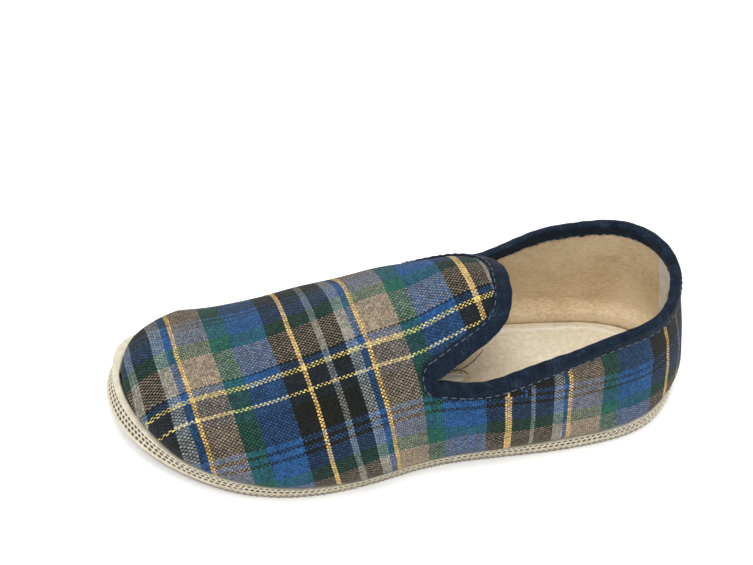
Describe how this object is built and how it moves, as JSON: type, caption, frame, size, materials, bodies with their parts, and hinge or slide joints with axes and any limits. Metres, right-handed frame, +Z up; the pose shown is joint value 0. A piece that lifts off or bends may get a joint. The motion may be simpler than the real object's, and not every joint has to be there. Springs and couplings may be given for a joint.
{
  "type": "slip-on slipper",
  "caption": "Left plaid wool slip-on slipper with a rounded tongue flap, felt-bound opening, fleece lining and footbed, rubber side band and flat outsole with toe spring.",
  "frame": {"origin": "centre of the bounding box on the floor, under the sole", "axes": "+X to the toe, +Y to the outer (lateral) side of this left shoe, +Z up from the floor"},
  "size_m": [0.2712, 0.1128, 0.0798],
  "materials": {
    "outsole": "matte moulded rubber",
    "side_band": "satin moulded cream rubber with small brown hollows",
    "upper": "brushed plaid wool flannel over beige fleece",
    "collar_binding": "matte navy wool felt tape",
    "insole": "cream fleece pile"
  },
  "bodies": {
    "root": {"outsole": "outsole", "side_band": "side_band", "upper": "upper", "collar_binding": "collar_binding", "insole": "insole"}
  },
  "joints": []
}
